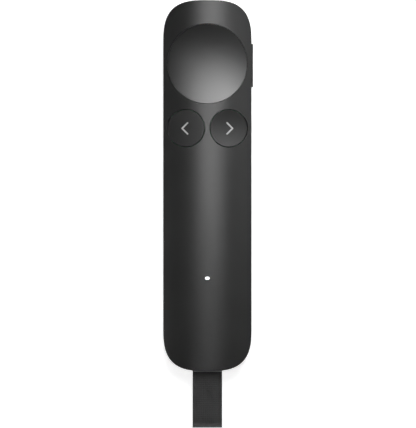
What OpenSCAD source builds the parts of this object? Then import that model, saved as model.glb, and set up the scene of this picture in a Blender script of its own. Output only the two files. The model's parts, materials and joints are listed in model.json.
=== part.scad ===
// Wireless presentation clicker with a pull-out receiver on a strap.
// Millimetres. The back rests on Z = 0 and the buttons face +Z.
// +Y is the pointer end, -Y is the receiver end, +X is the side button.

/* [Body] */
// Width across the flanks
body_w = 30; // [29.6:0.2:34]
// Length without the strap
body_l = 125.7; // [124:0.1:140]
// Thickness from the back to the top of the crown
body_t = 13; // [12.8:0.1:14.5]
// Radius of the crowned face
crown_r = 40; // [36:1:46]
// Length of each rounded end
end_l = 15; // [14:0.5:17]
// Squareness of the rounded ends, 2 is an ellipse
end_power = 3.05; // [2.8:0.05:3.6]
// Wall of both covers
wall = 1.2; // [1:0.05:1.25]
// Height of the parting line above the back
split_z = 3.6; // [3.4:0.1:3.7]
// Height of the rounding along the back edge
back_round_z = 3.2; // [2.4:0.1:3.3]
// Width of the rounding along the back edge
back_round_x = 5; // [3:0.5:6]

/* [Pointer button] */
// Cover left on each side of the dished button
dish_edge = 1.4; // [1.35:0.05:3]
// Distance of the dish centre from the front of the body
dish_front = 21.55; // [20.35:0.05:21.85]
// Depth of the dish below the crown
dish_depth = 1.3; // [1:0.1:1.5]
// Gap round the dished button
dish_gap = 0.1; // [0.08:0.01:0.2]
// Travel of the dished button
dish_travel = 0.4; // [0.3:0.05:0.45]

/* [Keys] */
// Cover left between the two keys
key_web = 1.48; // [1.3:0.02:2.2]
// Cover left beside each key
key_edge = 1.26; // [1.2:0.02:2]
// Distance of the keys behind the dish centre
key_back = 21.9; // [20.9:0.1:22.3]
// Gap round each key
key_gap = 0.3; // [0.2:0.05:0.4]
// Travel of each key
key_travel = 0.4; // [0.3:0.05:0.45]
// Depth of the dish in the next key
key_dish = 0.25; // [0.15:0.05:0.35]
// Radius of the gently crowned back key
key_crown_r = 80; // [60:5:140]
// Drop of the back key below the crown at its centre
key_sink = 0.1; // [0:0.02:0.2]
// Height of the arrow inlays
arrow_h = 3.8; // [3:0.1:5]
// Stroke of the arrow inlays
arrow_w = 0.58; // [0.4:0.02:0.8]
// Depth of the arrow inlays
arrow_deep = 0.5; // [0.45:0.05:0.6]
// Distance that each arrow sits outboard of its key's centre
arrow_shift = 0.4; // [0:0.05:0.6]

/* [Side button] */
// Length of the side button's opening
side_l = 15; // [13:0.5:16]
// Height of the side button's opening
side_h = 2.8; // [2.6:0.1:3]
// Distance of the side button behind the dish centre
side_back = 0.5; // [-0.2:0.1:1.3]
// How far the side button stands out
side_proud = 0.5; // [0.45:0.05:0.6]
// Gap round the side button
side_gap = 0.15; // [0.1:0.05:0.2]
// Travel of the side button
side_travel = 0.35; // [0.25:0.05:0.4]

/* [Status light] */
// Length of the status light
light_l = 1.6; // [1.4:0.1:2]
// Width of the status light
light_w = 1; // [0.8:0.05:1.2]
// Distance of the status light from the rear of the body
light_rear = 31.45; // [31.25:0.1:32.85]

/* [Receiver] */
// Width of the receiver shell
rx_w = 12; // [11.6:0.1:12.2]
// Height of the receiver shell
rx_h = 5; // [4.8:0.1:5.1]
// Length of the receiver shell
rx_l = 19.4; // [18:0.1:19.6]
// Wall of the receiver shell
rx_wall = 0.8; // [0.7:0.05:0.85]
// Running gap of the receiver in its bay
rx_gap = 0.1; // [0.08:0.01:0.12]
// Thickness of the end cap
cap_t = 1.2; // [1:0.1:1.4]
// How far the end cap lies inside the end of the body
cap_inset = 0.55; // [0.5:0.05:0.7]
// Wall of the receiver bay
bay_wall = 0.7; // [0.6:0.05:0.75]

/* [Strap] */
// Width of the strap ribbon
strap_w = 10; // [9:0.1:10]
// Thickness of the strap ribbon
strap_t = 0.55; // [0.4:0.05:0.6]
// Length of the strap beyond the end of the body
strap_out = 19.35; // [15:0.05:25]
// Diameter of the strap pin
strap_pin_d = 1; // [0.8:0.1:1.1]
// Swing of the strap either way, in degrees
strap_swing = 8; // [6:1:8]

/* [Electronics] */
// Thickness of the main board
board_t = 1; // [0.8:0.1:1]
// Height of the main board's underside
board_z = 6; // [5.9:0.05:6.1]
// Clearance between the battery and the screw heads
cell_clear = 0.2; // [0.1:0.1:1.5]
// Length of the battery
cell_l = 42.8; // [36:0.2:43]
// Thickness of the battery
cell_t = 3.8; // [3:0.1:4]
// Diameter of the laser barrel
laser_d = 5.8; // [5:0.1:5.8]
// Length of the laser barrel
laser_l = 10.6; // [9:0.1:10.8]
// Diameter of the vibration motor
motor_d = 8; // [7:0.5:9]

/* [Fasteners] */
// Diameter of the case screws
screw_d = 1.6; // [1.4:0.1:1.7]
// Length of the case screws under the head
screw_l = 4.6; // [4:0.1:4.8]

/* [Hidden] */
$fn = 48;
fine = 360;       // segments of the large crown and dish radii
eps = 0.02;       // overlap that keeps cuts and joined shapes clean
cut = 1;          // how far a cutter runs past a face
slip = 0.05;      // clearance of a close fit
end_steps = 12;   // straight pieces in each quarter of a rounded end
round_steps = 6;  // rings in the rounding of the back

end_y = body_l / 2 - end_l;             // where the rounded ends start
crown_z = body_t - crown_r;             // height of the crown's axis
inner_x = body_w / 2 - wall;            // inside of the flank

dish_d = body_w - 2 * dish_edge;        // opening of the dished button
dish_r = dish_d / 2 - dish_gap;
dish_y = body_l / 2 - dish_front;
key_d = (body_w - key_web) / 2 - key_edge;  // opening of a key
key_r = key_d / 2 - key_gap;
key_x = (key_d + key_web) / 2;
key_y = dish_y - key_back;
key_tilt = asin(key_x / crown_r);       // lean of the crown at a key
side_y = dish_y - side_back;
light_y = -body_l / 2 + light_rear;

// Joint between the covers
rim_gap = 0.1;
rim_t = 0.9;
rim_up = 1;
rim_root = 1.2;
rim_clear = 0.5;                        // room left beside the receiver bay

// Receiver: its cap, its shell and the bay
rx_end = -body_l / 2 + cap_inset;       // outer face of the end cap
rx_rear = rx_end + cap_t;               // open end of the receiver shell
rx_front = rx_rear + rx_l;              // closed end, where the plug leaves
bay_rear = rx_rear + rx_gap;
bay_w = rx_w + 2 * rx_gap;
bay_h = rx_h + 2 * rx_gap;
rib_x = 4;                              // ribs above the bay and feet below it
rib_t = 1;
rib_l = 10;
foot_t = 1.4;
foot_l = 9;

// Laser, from the front of the body inwards
laser_z = 5.8;
laser_r = laser_d / 2;
window_r = 1.7;
window_in = 0.1;
window_rim = laser_z - split_z - window_r - slip;
window_t = 0.6;
window_gap = 0.65;
laser_front = body_l / 2 - wall - window_in - window_t - window_gap;
lens_r = 1.75;
lens_t = 1.2;
lens_seat = 2.2;
beam_step = 0.5;
beam_r = lens_r - beam_step;
diode_back = 6;
diode_in = 0.6;
diode_front = laser_front - diode_back;
diode_rear = laser_front - laser_l + diode_in;
cradle_backs = [8.2, 2.3];
cradle_ys = [for (back = cradle_backs) laser_front - back];
cradle_t = 2.6;
cradle_side = 1.7;
cradle_wall = 0.6;
bed_gap = 0.3;                          // room round the barrel above the cradles
bed_end = 0.5;

// Main board and the frame below it
board_top = board_z + board_t;
board_side = 1.5;                       // board edge to the inside of the flank
board_space = 2.2;                      // board edge to the receiver and the laser
board_w = 2 * (inner_x - board_side);
board_rear = rx_front + board_space;
board_front = laser_front - laser_l - board_space;
board_corner = 2;
frame_t = 1;
frame_z = board_z - frame_t;
frame_gap = 0.15;
frame_nose = 0.3;                       // laser barrel ahead of the frame
frame_more = 1;                         // frame behind the board
frame_end = board_rear - frame_more;

// Case screws
screw_in = 1.4;                         // screw to the edge of the board
screw_rear = 2.7;                       // rear screws to the rear of the board
screw_key = 4.3;                        // middle screws to the key openings
nose_gap = 3.65;                        // front bosses to the laser barrel
nose_back = 2.7;
boss_wall = 0.85;
boss_r = screw_d / 2 + boss_wall;
hole_r = screw_d / 2 + slip;
tip_gap = 0.4;
head_over = 0.6;
head_r = screw_d / 2 + head_over;
head_t = 0.8;
hex_r = 0.5;
hex_deep = 0.5;
screw_x = board_w / 2 - screw_in;
screw_ys = [board_rear + screw_rear, key_y - key_d / 2 - screw_key];
nose_screw = [laser_r + nose_gap + boss_r, laser_front - nose_back];

// Battery under the board
cell_w = 2 * (screw_x - head_r - cell_clear);
cell_gap = 0.3;
cell_corner = 1;
cell_space = 6.6;                       // battery to the rear of the board
cell_rear = board_rear + cell_space;
cell_y = cell_rear + cell_l / 2;        // middle of the battery
wire_r = 0.45;
lead_l = 4.7;
plug_in_w = 4.2;                        // battery connector
plug_in_l = 3;
plug_in_h = 2.4;
plug_in_gap = 0.6;
plug_in_y = cell_y + (cell_l + plug_in_l) / 2 + lead_l;
pad_t = 0.4;
pad_side = 2;
pad_end = 3;
cell_z = wall + pad_t;

// Chips and parts on the board
led = [1.6, 0.8, 0.6];
led_gap = 0.1;
can_h = 1.8;
can_l = 12;
can_t = 0.2;
can_side = 5.3;                         // shield can to the edge of the board
can_w = board_w - 2 * can_side;
can_space = 2.4;                        // shield can to the status light
can_y = light_y + can_space + can_l / 2;
radio = [6, 6, 0.9];
radio_back = 0.5;
radio_y = can_y - radio_back;
xtal = [2.5, 2, 0.7];
xtal_gap = 0.6;
xtal_y = radio_y + radio[1] / 2 + xtal_gap + xtal[1] / 2;
aerial = [2, 5.2, 1];
aerial_in = 3.8;
aerial_space = 1.3;
aerial_x = board_w / 2 - aerial_in;
aerial_y = light_y + aerial_space + aerial[1] / 2;
motor_h = 2.7;
motor_in = 1.8;
motor_back = 16.2;
motor_x = board_w / 2 - motor_d / 2 - motor_in;
motor_y = key_y - motor_back;
power = [4, 4, 0.8];
power_in = 6.3;
power_back = 3.2;
power_x = board_w / 2 - power_in;
power_y = motor_y - power_back;
capacitor = [0.8, 1.6, 0.8];
capacitor_in = 2.7;
capacitor_ahead = 1.8;
capacitor_x = board_w / 2 - capacitor_in;   // outermost of the row
capacitor_y = motor_y + capacitor_ahead;
capacitor_pitch = 1.6;
capacitor_count = 6;

// Tactile switches
sw_w = 4.5;
sw_h = 1.6;
sw_stem_r = 1.1;
sw_stem_up = 0.5;
sw_stem_in = 0.7;
sw_free = 0.1;                          // hole below the pressed stem
sw_top = board_top + sw_h;
sw_stem_top = sw_top + sw_stem_up;

// Undersides and posts of the buttons, and the tabs that hold them
under_gap = 0.4;                        // underside above the stem's top
key_under = sw_stem_top + under_gap;
key_post_r = 1.6;
dish_under = sw_stem_top + under_gap;
dish_post_r = 1.8;
dish_skirt = 1.6;
dish_hollow = 0.6;
post_root = 0.5;
tab_w = 3;
tab_out = 0.9;
tab_t = 0.7;
tab_drop = 0.2;

// Side button and its switch
side_up = 0.6;
side_z = board_top + side_up;           // middle of the side button
side_sw_w = 4.6;
side_sw_d = 2.6;
side_sw_h = 1.6;
side_sw_in = 5.6;
side_sw_x = inner_x - side_sw_in;
side_stem_r = 0.45;
side_stem_out = 0.6;
side_stem_in = 0.7;
side_flange = 0.9;
side_flange_t = 0.7;
side_play = 0.1;
nib_l = 2;
nib_low = 0.4;
nib_h = 1.2;

light_flange = 0.7;
light_flange_t = 0.8;

// USB-C sized plug and socket
plug_w = 8.34;
plug_h = 2.56;
plug_l = 6.2;
plug_wall = 0.35;
plug_root = 0.9;
contact_w = 6;
contact_l = 5.8;
contact_t = 0.2;
socket_w = 8.94;
socket_h = 3.26;
socket_l = 7.35;
socket_back = 0.7;
socket_gap = 0.15;
socket_mouth = rx_front + socket_gap;
socket_end = socket_mouth + socket_l;
tongue_w = 6.69;
tongue_t = 0.7;
tongue_l = 5.2;
notch_end = socket_end + 2 * slip;      // end of the board's notch round the socket

rx_z = board_z + socket_h / 2;          // axis of receiver, bay and socket

// Strap, its pin, and the slot and lip of the end cap
pin_r = strap_pin_d / 2;
pin_in = 1.9;
pin_y = rx_rear + pin_in;
pin_short = 0.2;
pin_l = rx_w - 2 * pin_short;
strap_in_r = pin_r + slip;
strap_out_r = strap_in_r + strap_t;
strap_end = -body_l / 2 - strap_out;
swing_clear = 0.1;
cap_grow = 0.2;
lip_h = 0.6;
lip_out = 0.15;                         // lip beyond the end of the body
lip_root = 0.5;
slot_gap = 0.15;
slot_half = swing_reach(pin_y - rx_end);
lip_low = swing_reach(pin_y + body_l / 2 + lip_out);

// Receiver board
rx_board_t = 0.8;
rx_board_gap = 0.1;
rx_board_w = rx_w - 2 * rx_wall - 2 * rx_board_gap;
rx_board_space = 0.6;
rx_board_rear = pin_y + strap_out_r + rx_board_space;
rx_board_front = rx_front - plug_root - rx_board_gap;
rx_chip = [4, 4, 0.8];
rail = 0.6;

shell_colour = "#2f3031";
key_colour = "#343536";
arrow_colour = "#b4b6b8";
metal = "#b9bcc0";
board_green = "#1f5136";
chip_black = "#1b1c1e";

// Radius of an arc that rises by rise over half its chord
function arc_radius(half, rise) = (half * half + rise * rise) / (2 * rise);

// Drop of the crown at a distance from the middle
function crown_drop(x) = crown_r - sqrt(crown_r * crown_r - x * x);

// Height of the crown, or of a surface that lies a depth inside it
function crown_at(x, depth = 0) = crown_z + sqrt(pow(crown_r - depth, 2) - x * x);

// Half the height that the swinging strap sweeps at a distance from its pin
function swing_reach(dist) =
    strap_out_r / cos(strap_swing) + dist * tan(strap_swing) + swing_clear;

// One quarter of a rounded end, from the flank to the tip
function end_point(t, half, len) =
    [half * pow(cos(t), 2 / end_power), len * pow(sin(t), 2 / end_power)];

// Outline of the body, drawn in by an inset
function outline(inset) =
    let (half = body_w / 2 - inset,
         len = end_l - inset,
         turn = 90 / end_steps,
         q = [for (i = [0 : end_steps]) end_point(i * turn, half, len)])
    concat(
        [for (i = [0 : end_steps]) [q[i][0], end_y + q[i][1]]],
        [for (i = [end_steps - 1 : -1 : 0]) [-q[i][0], end_y + q[i][1]]],
        [for (i = [0 : end_steps]) [-q[i][0], -end_y - q[i][1]]],
        [for (i = [end_steps - 1 : -1 : 0]) [q[i][0], -end_y - q[i][1]]]);

// ---- shared shapes ----

module prism(inset, low, high) {
    translate([0, 0, low])
        linear_extrude(high - low)
            polygon(outline(inset));
}

module crown_cylinder(depth) {
    translate([0, body_l, crown_z])
        rotate([90, 0, 0])
            cylinder(r = crown_r - depth, h = 2 * body_l, $fn = fine);
}

// Everything below the crown, or below a surface inside it
module under_crown(depth, inset, low) {
    intersection() {
        prism(inset, low, body_t + cut);
        crown_cylinder(depth);
    }
}

// Tray with a rounded lower edge, as rings drawn in towards the back
module tray(inset, floor_z, top) {
    count = 4 * end_steps + 2;
    rings = concat(
        [for (i = [0 : round_steps])
            let (a = 90 * i / round_steps)
            [inset + back_round_x * (1 - sin(a)), floor_z + back_round_z * (1 - cos(a))]],
        [[inset, top]]);
    last = len(rings) - 1;
    points = [for (r = rings, p = outline(r[0])) [p[0], p[1], r[1]]];
    sides = [for (k = [0 : last - 1], i = [0 : count - 1])
        let (j = (i + 1) % count)
        [k * count + i, (k + 1) * count + i, (k + 1) * count + j, k * count + j]];
    floor_face = [[for (i = [0 : count - 1]) i]];
    top_face = [[for (i = [count - 1 : -1 : 0]) last * count + i]];
    polyhedron(points, concat(sides, floor_face, top_face));
}

// Flat bar with round ends, across X
module pill(w, h) {
    square([w - h, h], center = true);
    for (side = [-1, 1])
        translate([side * (w - h) / 2, 0])
            circle(d = h);
}

// Pill drawn in the X-Z plane and run along Y
module pill_bar(w, h, from, to) {
    translate([0, to, rx_z])
        rotate([90, 0, 0])
            linear_extrude(to - from)
                pill(w, h);
}

// Block centred in X and on the receiver's axis
module axis_block(w, h, from, to) {
    translate([-w / 2, from, rx_z - h / 2])
        cube([w, to - from, h]);
}

// Block centred in X and Y
module pad_block(x, y, w, l, low, high) {
    translate([x - w / 2, y - l / 2, low])
        cube([w, l, high - low]);
}

module post(x, y, r, low, high) {
    translate([x, y, low])
        cylinder(r = r, h = high - low);
}

// Cylinder along Y on the laser's axis
module along_y(r, from, to) {
    translate([0, to, laser_z])
        rotate([90, 0, 0])
            cylinder(r = r, h = to - from);
}

// Cylinder across X at the height of the receiver's axis
module across_x(r, y, w) {
    translate([-w / 2, y, rx_z])
        rotate([0, 90, 0])
            cylinder(r = r, h = w);
}

module screw_places() {
    for (side = [-1, 1]) {
        for (y = screw_ys)
            translate([side * screw_x, y, 0])
                children();
        translate([side * nose_screw[0], nose_screw[1], 0])
            children();
    }
}

// ---- covers ----

module boss(x, y, low) {
    post(x, y, boss_r, low, crown_at(x, wall / 2));
}

module cover_bosses() {
    for (side = [-1, 1]) {
        for (y = screw_ys)
            boss(side * screw_x, y, board_top);
        boss(side * nose_screw[0], nose_screw[1], board_z);
    }
}

module cover_ribs() {
    for (side = [-1, 1])
        pad_block(side * rib_x, (bay_rear + rx_front) / 2, rib_t, rib_l,
            rx_z + bay_h / 2 + bay_wall, crown_at(rib_x + rib_t, wall / 2));
}

module side_opening() {
    translate([inner_x - cut, side_y - side_l / 2, side_z - side_h / 2])
        cube([wall + 2 * cut, side_l, side_h]);
}

module top_cover() {
    color(shell_colour)
        difference() {
            union() {
                difference() {
                    under_crown(0, 0, split_z);
                    under_crown(wall, wall, split_z - cut);
                }
                intersection() {
                    union() {
                        cover_bosses();
                        cover_ribs();
                    }
                    under_crown(wall / 2, wall / 2, split_z);
                }
            }
            post(0, dish_y, dish_d / 2, board_top, body_t + cut);
            for (side = [-1, 1])
                post(side * key_x, key_y, key_d / 2, board_top, body_t + cut);
            screw_places()
                post(0, 0, hole_r, 0, frame_z + screw_l + tip_gap);
            translate([0, light_y, body_t - wall - cut])
                linear_extrude(wall + 2 * cut)
                    pill(light_l, light_w);
            side_opening();
            axis_block(rx_w + 2 * cap_grow + 2 * rx_gap, rx_h + 2 * cap_grow + 2 * rx_gap,
                -body_l / 2 - cut, bay_rear);
            along_y(window_r, body_l / 2 - wall - cut, body_l / 2 + cut);
        }
}

module bottom_cover() {
    rim_in = wall + rim_gap;
    color(shell_colour)
        union() {
            difference() {
                tray(0, 0, split_z);
                tray(wall, wall, split_z + cut);
            }
            difference() {
                prism(rim_in, split_z - rim_root, split_z + rim_up);
                prism(rim_in + rim_t, split_z - rim_root - cut, split_z + rim_up + cut);
                pad_block(0, 0, bay_w + 2 * bay_wall + 2 * rim_clear, body_l,
                    split_z, split_z + rim_up + cut);
            }
        }
}

// Notch that the socket sits in, through the board or the frame
module socket_notch(low, high) {
    from = frame_end - cut;
    pad_block(0, (from + notch_end) / 2, socket_w + 2 * slip, notch_end - from, low, high);
}

module inner_frame() {
    front = laser_front - frame_nose;
    low = frame_z - cut;
    high = board_z + cut;
    color("#4a4c4f")
        difference() {
            union() {
                intersection() {
                    prism(wall + frame_gap, frame_z, board_z);
                    pad_block(0, (frame_end + front) / 2, body_w, front - frame_end,
                        frame_z, board_z);
                }
                for (y = cradle_ys)
                    pad_block(0, y, laser_d + 2 * cradle_side, cradle_t,
                        laser_z - laser_r - cradle_wall, laser_z);
            }
            pad_block(0, cell_y, cell_w + 2 * cell_gap, cell_l + 2 * cell_gap, low, high);
            pad_block(0, laser_front - laser_l / 2, laser_d + 2 * bed_gap, laser_l + 2 * bed_end,
                laser_z, high);
            along_y(laser_r + slip, laser_front - laser_l - bed_end, laser_front + bed_end);
            pad_block(0, plug_in_y, plug_in_w + 2 * plug_in_gap, plug_in_l + 2 * plug_in_gap,
                low, high);
            socket_notch(low, high);
            screw_places()
                post(0, 0, hole_r, 0, body_t);
        }
}

module case_screws() {
    color(metal)
        screw_places()
            difference() {
                union() {
                    post(0, 0, head_r, frame_z - head_t, frame_z);
                    post(0, 0, screw_d / 2, frame_z - eps, frame_z + screw_l);
                }
                translate([0, 0, frame_z - head_t - eps])
                    cylinder(r = hex_r, h = hex_deep, $fn = 6);
            }
}

// ---- buttons ----

// Cuts a saddle, concave along Y and a little convex along X, whose rim lies
// flush with the crown. The origin is on the crown above the saddle's middle.
module saddle_cutter(half, depth) {
    long_r = arc_radius(half, depth);
    cross_r = arc_radius(half, crown_drop(half) - depth);
    translate([0, 0, long_r - depth])
        rotate([0, 90, 0])
            rotate_extrude($fn = fine)
                difference() {
                    translate([0, -half - cut])
                        square([long_r + crown_drop(half), 2 * half + 2 * cut]);
                    translate([long_r + cross_r, 0])
                        circle(r = cross_r, $fn = 2 * fine);
                }
}

// Two tabs that hold a button under the cover
module tabs(x, y, r) {
    tab_top = crown_at(abs(x) + tab_w / 2, wall) - tab_drop;
    for (end = [-1, 1])
        pad_block(x, y + end * r, tab_w, 2 * tab_out, tab_top - tab_t, tab_top);
}

module pointer_button() {
    color(key_colour)
        union() {
            difference() {
                post(0, dish_y, dish_r, dish_under, body_t + cut);
                translate([0, dish_y, body_t])
                    saddle_cutter(dish_d / 2, dish_depth);
                post(0, dish_y, dish_r - dish_skirt, dish_under - cut, dish_under + dish_hollow);
            }
            post(0, dish_y, dish_post_r, sw_stem_top, dish_under + dish_hollow + post_root);
            tabs(0, dish_y, dish_r);
        }
}

// Moves children to the crown above a key's centre, leaning with the crown
module on_key(side) {
    translate([side * key_x, key_y, crown_at(key_x)])
        rotate([0, side * key_tilt, 0])
            children();
}

module arrow_shape() {
    arm = arrow_h / 2 * sqrt(2);
    for (turn = [45, -45])
        rotate(turn) {
            translate([0, -arrow_w / 2])
                square([arm, arrow_w]);
            translate([arm, 0])
                circle(d = arrow_w);
        }
    circle(d = arrow_w);
}

// side is -1 for the flat back key and 1 for the dished next key
module key_blank(side) {
    if (side > 0)
        difference() {
            post(side * key_x, key_y, key_r, key_under, body_t + cut);
            on_key(side)
                saddle_cutter(key_d / 2, key_dish);
        }
    else
        intersection() {
            post(side * key_x, key_y, key_r, key_under, body_t + cut);
            on_key(side)
                translate([0, key_d, -key_crown_r - key_sink])
                    rotate([90, 0, 0])
                        cylinder(r = key_crown_r, h = 2 * key_d, $fn = fine);
        }
}

module arrow_prism(side, top) {
    on_key(side)
        translate([side * (arrow_h / 4 + arrow_shift), 0, -arrow_deep])
            rotate(side > 0 ? 180 : 0)
                linear_extrude(arrow_deep + top)
                    arrow_shape();
}

module key(side) {
    union() {
        difference() {
            key_blank(side);
            arrow_prism(side, cut);
        }
        tabs(side * key_x, key_y, key_r);
        post(side * key_x, key_y, key_post_r, sw_stem_top, key_under + post_root);
    }
}

module back_button() {
    color(key_colour)
        key(-1);
}

module next_button() {
    color(key_colour)
        key(1);
}

module back_arrow() {
    color(arrow_colour)
        arrow_prism(-1, -key_sink);
}

module next_arrow() {
    color(arrow_colour)
        arrow_prism(1, -key_dish);
}

module side_button() {
    stem_face = side_sw_x + side_sw_d + side_stem_out;
    flange_x = inner_x - side_play - side_flange_t;
    color("#1c1d1e")
        union() {
            translate([flange_x, side_y - side_l / 2 + side_gap, side_z - side_h / 2 + side_gap])
                cube([body_w / 2 + side_proud - flange_x,
                    side_l - 2 * side_gap, side_h - 2 * side_gap]);
            translate([flange_x, side_y - side_l / 2 - side_flange, side_z - side_h / 2 + side_gap])
                cube([side_flange_t, side_l + 2 * side_flange, side_h - 2 * side_gap]);
            translate([stem_face, side_y - nib_l / 2, side_z - nib_low])
                cube([flange_x - stem_face + eps, nib_l, nib_h]);
        }
}

// ---- board and what is on it ----

module board_outline() {
    long = board_front - board_rear - 2 * board_corner;
    for (side = [-1, 1])
        for (y = [board_rear + board_corner, board_front - board_corner])
            translate([side * (board_w / 2 - board_corner), y])
                circle(r = board_corner);
    translate([-board_w / 2, board_rear + board_corner])
        square([board_w, long]);
    translate([-board_w / 2 + board_corner, board_rear])
        square([board_w - 2 * board_corner, board_front - board_rear]);
}

module main_board() {
    color(board_green)
        difference() {
            translate([0, 0, board_z])
                linear_extrude(board_t)
                    board_outline();
            socket_notch(board_z - cut, board_top + cut);
            screw_places()
                post(0, 0, hole_r, 0, body_t);
        }
}

module switch_case(x, y, travel) {
    color("#c9ccd0")
        difference() {
            pad_block(x, y, sw_w, sw_w, board_top, sw_top);
            post(x, y, sw_stem_r + slip, sw_top - sw_stem_in - travel - sw_free, sw_top + cut);
        }
}

module switch_stem(x, y) {
    color("#8f2b2b")
        post(x, y, sw_stem_r, sw_top - sw_stem_in, sw_stem_top);
}

module pointer_switch() {
    switch_case(0, dish_y, dish_travel);
}

module back_switch() {
    switch_case(-key_x, key_y, key_travel);
}

module next_switch() {
    switch_case(key_x, key_y, key_travel);
}

module pointer_stem() {
    switch_stem(0, dish_y);
}

module back_stem() {
    switch_stem(-key_x, key_y);
}

module next_stem() {
    switch_stem(key_x, key_y);
}

module side_switch() {
    face = side_sw_x + side_sw_d;
    hole_end = face - side_stem_in - side_travel - sw_free;
    color("#c9ccd0")
        difference() {
            pad_block(side_sw_x + side_sw_d / 2, side_y, side_sw_d, side_sw_w,
                board_top, board_top + side_sw_h);
            translate([hole_end, side_y, side_z])
                rotate([0, 90, 0])
                    cylinder(r = side_stem_r + slip, h = face - hole_end + cut);
        }
}

module side_stem() {
    color("#8f2b2b")
        translate([side_sw_x + side_sw_d - side_stem_in, side_y, side_z])
            rotate([0, 90, 0])
                cylinder(r = side_stem_r, h = side_stem_in + side_stem_out);
}

// Block that stands on the board, size is [width, length, height]
module on_board(x, y, size) {
    pad_block(x, y, size[0], size[1], board_top, board_top + size[2]);
}

module status_led() {
    color("#f4f6f8")
        on_board(0, light_y, led);
}

module light_pipe() {
    foot = board_top + led[2] + led_gap;
    flange_top = crown_at(light_l / 2 + light_flange, wall) - slip;
    color("#f8fafc")
        union() {
            translate([0, light_y, foot])
                linear_extrude(crown_at(light_l / 2) - foot)
                    pill(light_l - 2 * slip, light_w - 2 * slip);
            pad_block(0, light_y, light_l + 2 * light_flange, light_w + 2 * light_flange,
                flange_top - light_flange_t, flange_top);
        }
}

module radio_chip() {
    color(chip_black)
        on_board(0, radio_y, radio);
}

module shield_can() {
    color(metal)
        difference() {
            on_board(0, can_y, [can_w, can_l, can_h]);
            pad_block(0, can_y, can_w - 2 * can_t, can_l - 2 * can_t, board_top - cut,
                board_top + can_h - can_t);
        }
}

module antenna() {
    color("#d8d2c2")
        on_board(-aerial_x, aerial_y, aerial);
}

module crystal() {
    color(metal)
        on_board(0, xtal_y, xtal);
}

module power_chip() {
    color(chip_black)
        on_board(power_x, power_y, power);
}

module capacitors() {
    color("#a98d63")
        for (i = [0 : capacitor_count - 1])
            on_board(capacitor_x - i * capacitor_pitch, capacitor_y, capacitor);
}

module battery() {
    color("#c7cbd0")
        translate([0, cell_y, cell_z])
            linear_extrude(cell_t) {
                square([cell_w - 2 * cell_corner, cell_l], center = true);
                square([cell_w, cell_l - 2 * cell_corner], center = true);
                for (x = [-1, 1], y = [-1, 1])
                    translate([x * (cell_w / 2 - cell_corner), y * (cell_l / 2 - cell_corner)])
                        circle(r = cell_corner);
            }
}

module battery_pad() {
    color("#55585c")
        pad_block(0, cell_y, cell_w - 2 * pad_side, cell_l - 2 * pad_end, wall, cell_z);
}

// Two-pin connector under the board, in front of the battery
module battery_connector() {
    color("#e8e4d8")
        pad_block(0, plug_in_y, plug_in_w, plug_in_l, board_z - plug_in_h, board_z);
}

module battery_lead() {
    to = plug_in_y - plug_in_l / 2;
    for (side = [-1, 1])
        color(side > 0 ? "#b02a2a" : "#1b1b1b")
            translate([side * 2 * wire_r, to, frame_z - wire_r - slip])
                rotate([90, 0, 0])
                    cylinder(r = wire_r - slip, h = lead_l);
}

module vibration_motor() {
    color("#a7abb0")
        post(-motor_x, motor_y, motor_d / 2, board_top, board_top + motor_h);
}

// ---- laser ----

module laser_barrel() {
    color("#c39b4a")
        difference() {
            along_y(laser_r, laser_front - laser_l, laser_front);
            along_y(lens_r + slip, laser_front - lens_seat, laser_front + cut);
            along_y(beam_r, diode_front - cut, laser_front);
            along_y(lens_r + slip, laser_front - laser_l - cut, diode_front);
        }
}

module laser_diode() {
    color("#8b8f94")
        along_y(lens_r, diode_rear, diode_front);
}

module laser_lens() {
    color([0.75, 0.85, 0.9, 0.6])
        along_y(lens_r, laser_front - lens_seat, laser_front - lens_seat + lens_t);
}

module laser_window() {
    rim_front = body_l / 2 - wall - window_in;
    color([0.2, 0.05, 0.05, 0.8])
        union() {
            along_y(window_r - slip, rim_front - window_t / 2, body_l / 2 - window_in);
            along_y(window_r + window_rim, rim_front - window_t, rim_front);
        }
}

// ---- charging socket ----

module charge_socket() {
    color(metal)
        difference() {
            pill_bar(socket_w, socket_h, socket_mouth, socket_end);
            pill_bar(plug_w + 2 * slip, plug_h + 2 * slip, socket_mouth - cut,
                socket_end - socket_back);
        }
}

module socket_tongue() {
    back = socket_end - socket_back;
    color(chip_black)
        axis_block(tongue_w, tongue_t, back - tongue_l, back);
}

// ---- receiver, its bay and its strap ----

module receiver_bay() {
    outer_w = bay_w + 2 * bay_wall;
    outer_h = bay_h + 2 * bay_wall;
    foot_y = (bay_rear + rx_front) / 2;
    color("#3c3e41")
        union() {
            difference() {
                axis_block(outer_w, outer_h, bay_rear, rx_front);
                axis_block(bay_w, bay_h, bay_rear - cut, rx_front + cut);
            }
            for (side = [-1, 1])
                pad_block(side * rib_x, foot_y, foot_t, foot_l, wall, rx_z - outer_h / 2 + eps);
        }
}

module receiver_shell() {
    color(shell_colour)
        difference() {
            union() {
                difference() {
                    axis_block(rx_w, rx_h, rx_rear, rx_front);
                    axis_block(rx_w - 2 * rx_wall, rx_h - 2 * rx_wall, rx_rear - cut,
                        rx_front - rx_wall);
                }
                for (side = [-1, 1])
                    translate([side * (rx_w / 2 - rx_wall - rail / 2 + eps) - rail / 2,
                            rx_board_rear, rx_z - rx_board_t / 2 - rail])
                        cube([rail, rx_board_front - rx_board_rear, rail]);
            }
            pill_bar(plug_w, plug_h, rx_front - rx_wall - cut, rx_front + cut);
            across_x(pin_r + eps, pin_y, 2 * rx_w);
        }
}

module receiver_cap() {
    color("#5a5c5e")
        difference() {
            union() {
                axis_block(rx_w + 2 * cap_grow, rx_h + 2 * cap_grow, rx_end, rx_rear);
                translate([-strap_w / 2, -body_l / 2 - lip_out, rx_z + lip_low])
                    cube([strap_w, cap_inset + lip_out + lip_root, lip_h]);
            }
            axis_block(strap_w + 2 * slot_gap, 2 * slot_half, rx_end - cut, rx_rear + cut);
        }
}

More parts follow.
